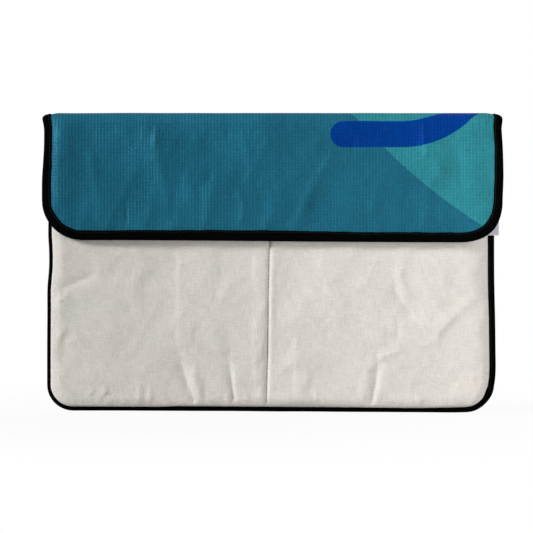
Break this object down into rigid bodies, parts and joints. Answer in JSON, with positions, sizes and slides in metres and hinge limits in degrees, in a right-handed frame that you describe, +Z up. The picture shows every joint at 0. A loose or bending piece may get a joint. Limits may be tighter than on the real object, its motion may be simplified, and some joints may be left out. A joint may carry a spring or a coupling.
{
  "type": "laptop sleeve",
  "caption": "Padded laptop sleeve with a fold-over printed flap, plain canvas front, bound edges and a hook-and-loop closure.",
  "frame": {"origin": "centre of the sleeve's width and depth, on the plane its bottom edge stands on", "axes": "+X to the right when facing the front, +Y from the front to the back, +Z up from the bottom edge to the mouth"},
  "size_m": [0.404, 0.0282, 0.2634],
  "materials": {
    "printed_sheet": "semi-gloss coated banner sheet with a woven scrim",
    "canvas": "matt off-white canvas",
    "foam": "closed-cell foam padding",
    "lining": "smooth woven nylon",
    "binding_tape": "matt woven tape",
    "black_thread": "twisted thread",
    "white_thread": "twisted thread",
    "loop_tape": "brushed loop pile",
    "hook_tape": "moulded hooks",
    "label_ribbon": "satin ribbon, blank"
  },
  "bodies": {
    "pouch": {"back_outer_panel": "printed_sheet", "back_foam_pad": "foam", "back_lining": "lining", "pouch_edge_binding": "binding_tape", "pouch_binding_thread": "black_thread"},
    "front_wall": {"front_panel_left": "canvas", "front_panel_right": "canvas", "centre_seam_thread": "white_thread", "front_foam_pad": "foam", "front_lining": "lining", "mouth_binding": "binding_tape", "mouth_binding_thread": "black_thread", "loop_strip_left": "loop_tape", "loop_strip_right": "loop_tape", "loop_thread_left": "black_thread", "loop_thread_right": "black_thread"},
    "fold": {"fold_cover": "printed_sheet", "fold_lining": "lining", "fold_binding_left": "binding_tape", "fold_binding_right": "binding_tape"},
    "flap": {"flap_printed_panel": "printed_sheet", "flap_interlining": "foam", "flap_lining": "lining", "flap_edge_binding": "binding_tape", "flap_binding_thread": "black_thread", "hook_strip_left": "hook_tape", "hook_strip_right": "hook_tape", "hook_thread_left": "black_thread", "hook_thread_right": "black_thread"},
    "label": {"side_label": "label_ribbon", "side_label_thread": "white_thread"}
  },
  "joints": [
    {"name": "flap_open", "type": "hinge", "parent": "pouch", "child": "fold", "pos_m": [0, 0.01152, 0.25987], "axis": [-1, 0, 0], "range_deg": [0, 90]},
    {"name": "flap_fold", "type": "hinge", "parent": "fold", "child": "flap", "pos_m": [0, -0.01012, 0.25987], "axis": [-1, 0, 0], "range_deg": [0, 90]},
    {"name": "mouth_open", "type": "hinge", "parent": "pouch", "child": "front_wall", "pos_m": [0, 0.0002, 0.0065], "axis": [1, 0, 0], "range_deg": [0, 4]},
    {"name": "label_flip", "type": "hinge", "parent": "pouch", "child": "label", "pos_m": [0.1901, -0.0032, 0.164], "axis": [0, 0, -1], "range_deg": [0, 30]}
  ],
  "couplings": [
    {"joint": "flap_fold", "follows": "flap_open", "ratio": 1},
    {"joint": "mouth_open", "follows": "flap_open", "ratio": 0.0444}
  ]
}
